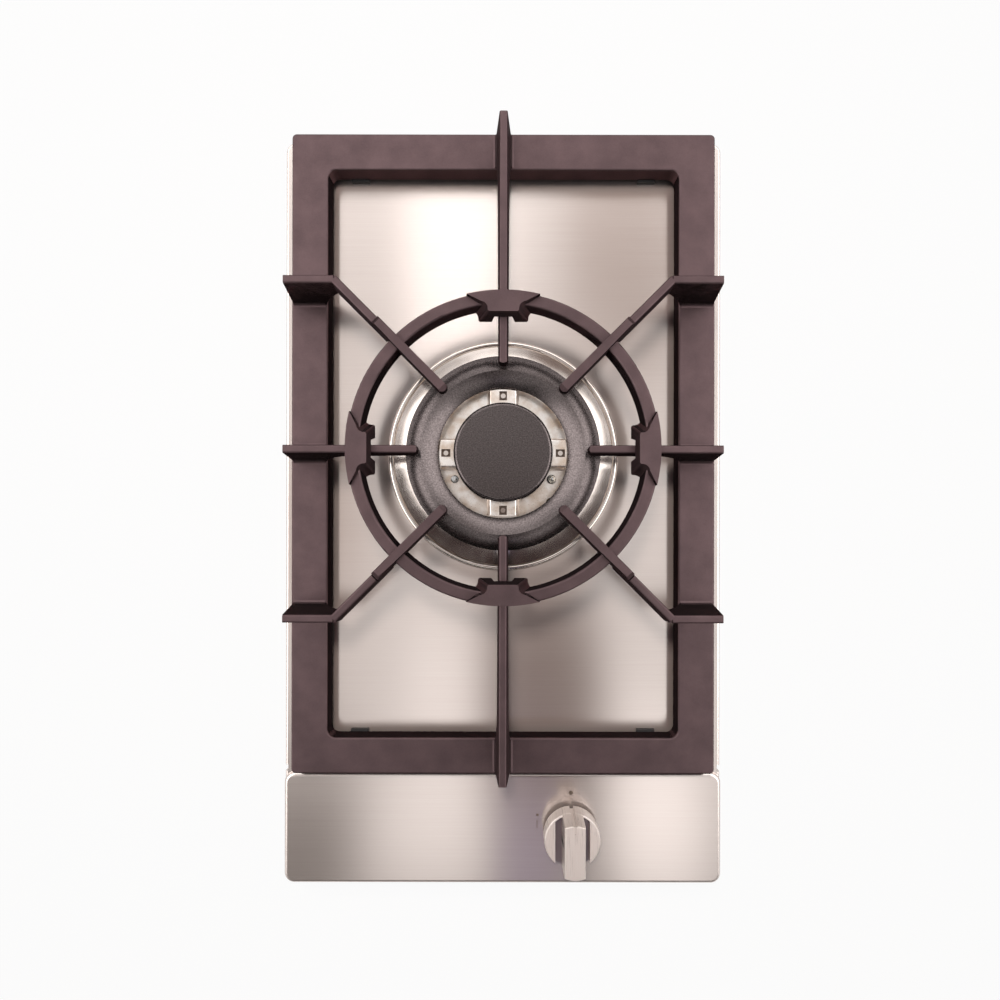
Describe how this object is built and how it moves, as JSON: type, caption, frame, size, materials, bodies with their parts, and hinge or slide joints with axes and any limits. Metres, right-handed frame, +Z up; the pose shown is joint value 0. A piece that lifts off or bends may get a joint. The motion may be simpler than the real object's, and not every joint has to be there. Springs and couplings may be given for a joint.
{
  "type": "single burner gas hob",
  "caption": "Narrow drop-in stainless gas hob with one dual-ring wok burner, cast iron pan support, lift-off wok stand and a push-and-turn knob on a raised front strip.",
  "frame": {"origin": "middle of the top plate in the worktop plane, where the seal rests on the worktop", "axes": "+X to the user's right, +Y to the rear, +Z up"},
  "size_m": [0.3, 0.51, 0.1131],
  "materials": {
    "brushed_stainless": "brushed stainless sheet",
    "polished_stainless": "polished stainless",
    "cast_iron": "matt enamelled cast iron",
    "black_enamel": "vitreous enamel on pressed steel",
    "cast_aluminium": "as cast aluminium",
    "satin_metal": "satin nickel on zinc casting",
    "galvanised_steel": "galvanised sheet",
    "zinc_steel": "zinc plated steel",
    "brass": "machined brass",
    "rubber": "black moulded rubber",
    "seal_foam": "closed cell sealing strip",
    "white_ceramic": "glazed alumina ceramic",
    "dark_plastic": "moulded heat resistant plastic",
    "circuit_board": "potted circuit board",
    "battery_sleeve": "printed steel sleeve, plain",
    "white_lead": "silicone insulated wire",
    "black_lead": "plastic insulated wire",
    "copper": "drawn copper"
  },
  "bodies": {
    "hob": {"top_plate": "brushed_stainless", "worktop_seal": "seal_foam", "burner_box": "galvanised_steel", "weld_studs": "zinc_steel", "stud_nuts": "zinc_steel", "worktop_clamps": "galvanised_steel", "clamp_fixing_screws": "zinc_steel", "clamp_screws": "zinc_steel", "burner_trim_ring": "polished_stainless", "burner_cup": "cast_aluminium", "inner_injector": "brass", "outer_injector": "brass", "spark_electrode_ceramic": "white_ceramic", "spark_electrode_wire": "zinc_steel", "thermocouple": "zinc_steel", "gas_tap_body": "cast_aluminium", "tap_bonnet": "zinc_steel", "tap_spring": "zinc_steel", "tap_screws": "zinc_steel", "tap_bracket": "galvanised_steel", "bracket_screws": "zinc_steel", "ignition_switch": "dark_plastic", "magnet_unit": "brass", "thermocouple_nut": "brass", "inner_gas_tube": "copper", "outer_gas_tube": "copper", "tube_nuts": "brass", "gas_rail": "galvanised_steel", "gas_inlet_nipple": "brass", "inlet_locknut": "brass", "ignition_module_case": "dark_plastic", "ignition_module_lid": "dark_plastic", "module_screws": "zinc_steel", "battery": "battery_sleeve", "pulse_board": "circuit_board", "ignition_lead": "white_lead", "switch_lead": "black_lead", "thermocouple_lead": "copper", "knob_seal": "rubber"},
    "tap_plug": {"tap_plug": "brass"},
    "knob": {"knob": "satin_metal", "knob_bush": "dark_plastic", "tap_spindle": "zinc_steel", "switch_disc": "dark_plastic"},
    "switch_plunger": {"switch_plunger": "white_ceramic"},
    "pan_support": {"pan_support": "cast_iron", "pan_support_feet": "rubber"},
    "wok_stand": {"wok_stand": "cast_iron"},
    "flame_crown": {"flame_crown": "cast_aluminium", "crown_pins": "polished_stainless"},
    "outer_ring_cap": {"outer_ring_cap": "black_enamel"},
    "inner_cap": {"inner_cap": "black_enamel"}
  },
  "joints": [
    {"name": "knob_turn", "type": "hinge", "parent": "hob", "child": "tap_plug", "pos_m": [0.0466, -0.2183, 0], "axis": [0, 0, 1], "range_deg": [0, 180]},
    {"name": "knob_push", "type": "slide", "parent": "tap_plug", "child": "knob", "axis": [0, 0, -1], "range_m": [0, 0.003], "stiffness_N_per_m": 2500, "springref_m": -0.0015, "deforming": ["tap_spring"]},
    {"name": "plunger_push", "type": "slide", "parent": "hob", "child": "switch_plunger", "axis": [0, 0, -1], "range_m": [0, 0.003]},
    {"name": "pan_support_lift", "type": "slide", "parent": "hob", "child": "pan_support", "axis": [0, 0, 1], "range_m": [0, 0.08]},
    {"name": "wok_stand_lift", "type": "slide", "parent": "pan_support", "child": "wok_stand", "axis": [0, 0, 1], "range_m": [0, 0.06]},
    {"name": "flame_crown_lift", "type": "slide", "parent": "hob", "child": "flame_crown", "axis": [0, 0, 1], "range_m": [0, 0.004]},
    {"name": "outer_ring_cap_lift", "type": "slide", "parent": "flame_crown", "child": "outer_ring_cap", "axis": [0, 0, 1], "range_m": [0, 0.005]},
    {"name": "inner_cap_lift", "type": "slide", "parent": "flame_crown", "child": "inner_cap", "axis": [0, 0, 1], "range_m": [0, 0.06]}
  ],
  "couplings": [
    {"joint": "plunger_push", "follows": "knob_push", "ratio": 1}
  ]
}
